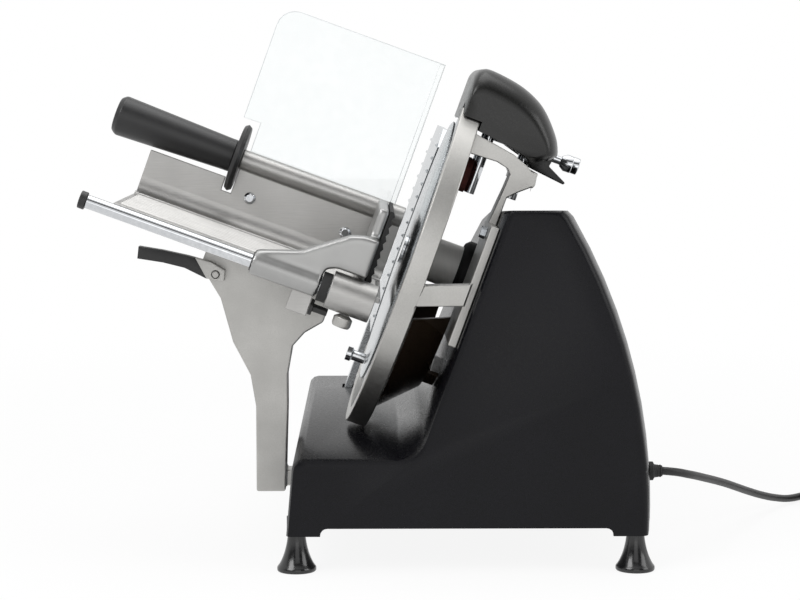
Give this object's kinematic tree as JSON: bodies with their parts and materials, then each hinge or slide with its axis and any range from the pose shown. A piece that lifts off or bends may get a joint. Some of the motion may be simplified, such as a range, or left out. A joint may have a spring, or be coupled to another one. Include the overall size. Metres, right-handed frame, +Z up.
{
  "type": "meat slicer",
  "caption": "Gravity-feed meat slicer: tilted round blade in a ring guard, sliding tray with pusher and hand guard, gauge plate, sharpener and a black cast base with a motor tower.",
  "frame": {"origin": "middle of the footprint at table height, measured without the cord", "axes": "+X from the carriage to the motor tower, +Y from the service end to the operator's controls, +Z up"},
  "size_m": [0.6666, 0.4668, 0.4008],
  "materials": {
    "paint": "satin black paint on a cast body",
    "cast_aluminium": "satin, as cast and anodised",
    "polished_aluminium": "polished",
    "steel": "ground",
    "chrome": "bright",
    "black_plastic": "moulded",
    "rubber": "matt",
    "dark_sheet": "dark glossy coat",
    "stone": "abrasive grit",
    "red_plastic": "moulded",
    "green_plastic": "moulded",
    "clear_plastic": "clear acrylic sheet"
  },
  "bodies": {
    "frame": {"base_casting": "paint", "bottom_cover": "black_plastic", "foot_near_left": "black_plastic", "foot_near_right": "black_plastic", "foot_far_left": "black_plastic", "foot_far_right": "black_plastic", "spindle_housing": "polished_aluminium", "housing_flange": "black_plastic", "bearing_front": "steel", "bearing_rear": "steel", "drive_belt": "rubber", "drive_bracket": "steel", "motor_case": "dark_sheet", "blade_cover": "polished_aluminium", "cover_tie_rod": "chrome", "cover_stud": "chrome", "ring_guard": "cast_aluminium", "flange_bolt": "steel", "slice_deflector": "dark_sheet", "gauge_bar": "steel", "index_dial": "cast_aluminium", "switch_plate": "cast_aluminium", "carriage_bar": "chrome", "cable_gland": "rubber", "cord_lead": "rubber", "cord_coil": "rubber", "cord_plug": "black_plastic"},
    "blade_unit": {"blade": "steel", "spindle": "steel", "spindle_pulley": "steel"},
    "motor_unit": {"motor_rotor": "steel", "motor_pulley": "steel"},
    "gauge": {"gauge_plate": "polished_aluminium"},
    "thickness_control": {"thickness_cam": "steel", "thickness_knob": "black_plastic"},
    "start_button": {"start_button": "green_plastic"},
    "stop_button": {"stop_button": "red_plastic"},
    "carriage": {"slide_block": "steel", "carriage_leg": "cast_aluminium", "tray": "cast_aluminium", "tray_screw_left": "chrome", "tray_screw_right": "chrome", "hand_guard": "clear_plastic", "handle_flange": "black_plastic", "handle_grip": "black_plastic", "pusher_rod": "chrome", "rod_cap": "black_plastic", "rod_bumper": "rubber", "rod_clamp_knob": "black_plastic", "stop_pin": "black_plastic"},
    "tray_lever": {"tray_lever": "black_plastic"},
    "pusher_bush": {"pusher_bush": "black_plastic"},
    "pusher": {"pusher_arm": "polished_aluminium", "pusher_pad": "rubber"},
    "sharpener": {"sharpener_hood": "black_plastic", "sharpener_post": "chrome"},
    "sharpener_push_near": {"sharpener_knob_near": "chrome", "grinding_stone_near": "stone"},
    "sharpener_push_far": {"sharpener_knob_far": "chrome", "grinding_stone_far": "stone"}
  },
  "joints": [
    {"name": "carriage_slide", "type": "slide", "parent": "frame", "child": "carriage", "axis": [0, 1, 0], "range_m": [-0.035, 0.235]},
    {"name": "pusher_slide", "type": "slide", "parent": "carriage", "child": "pusher_bush", "axis": [-0.9397, 0, 0.342], "range_m": [0, 0.11]},
    {"name": "pusher_swing", "type": "hinge", "parent": "pusher_bush", "child": "pusher", "pos_m": [0.01266, -0.18345, 0.18173], "axis": [0.9397, 0, -0.342], "range_deg": [0, 95]},
    {"name": "tray_lever_turn", "type": "hinge", "parent": "carriage", "child": "tray_lever", "pos_m": [-0.11714, -0.12075, 0.203], "axis": [0, 1, 0], "range_deg": [-35, 0]},
    {"name": "blade_spin", "type": "hinge", "parent": "frame", "child": "blade_unit", "pos_m": [0.02586, -0.08345, 0.218], "axis": [0.9397, 0, -0.342], "continuous": true},
    {"name": "motor_spin", "type": "hinge", "parent": "frame", "child": "motor_unit", "pos_m": [-0.00218, -0.08345, 0.14094], "axis": [0.9397, 0, -0.342], "continuous": true},
    {"name": "gauge_slide", "type": "slide", "parent": "frame", "child": "gauge", "axis": [0.9397, 0, -0.342], "range_m": [0, 0.012]},
    {"name": "thickness_turn", "type": "hinge", "parent": "frame", "child": "thickness_control", "pos_m": [0.01163, 0.20655, 0.0561], "axis": [0, 1, 0], "range_deg": [0, 270]},
    {"name": "start_push", "type": "slide", "parent": "frame", "child": "start_button", "axis": [0, -1, 0], "range_m": [0, 0.003], "stiffness_N_per_m": 400},
    {"name": "stop_push", "type": "slide", "parent": "frame", "child": "stop_button", "axis": [0, -1, 0], "range_m": [0, 0.003], "stiffness_N_per_m": 400},
    {"name": "sharpener_lift", "type": "slide", "parent": "frame", "child": "sharpener", "axis": [0.342, 0, 0.9397], "range_m": [0, 0.02]},
    {"name": "sharpener_near_push", "type": "slide", "parent": "sharpener", "child": "sharpener_push_near", "axis": [-0.9397, 0, 0.342], "range_m": [0, 0.006], "stiffness_N_per_m": 300},
    {"name": "sharpener_far_push", "type": "slide", "parent": "sharpener", "child": "sharpener_push_far", "axis": [-0.9397, 0, 0.342], "range_m": [0, 0.006], "stiffness_N_per_m": 300}
  ],
  "couplings": [
    {"joint": "motor_spin", "follows": "blade_spin", "ratio": 2.5},
    {"joint": "thickness_turn", "follows": "gauge_slide", "rad_per_m": 392.69}
  ]
}
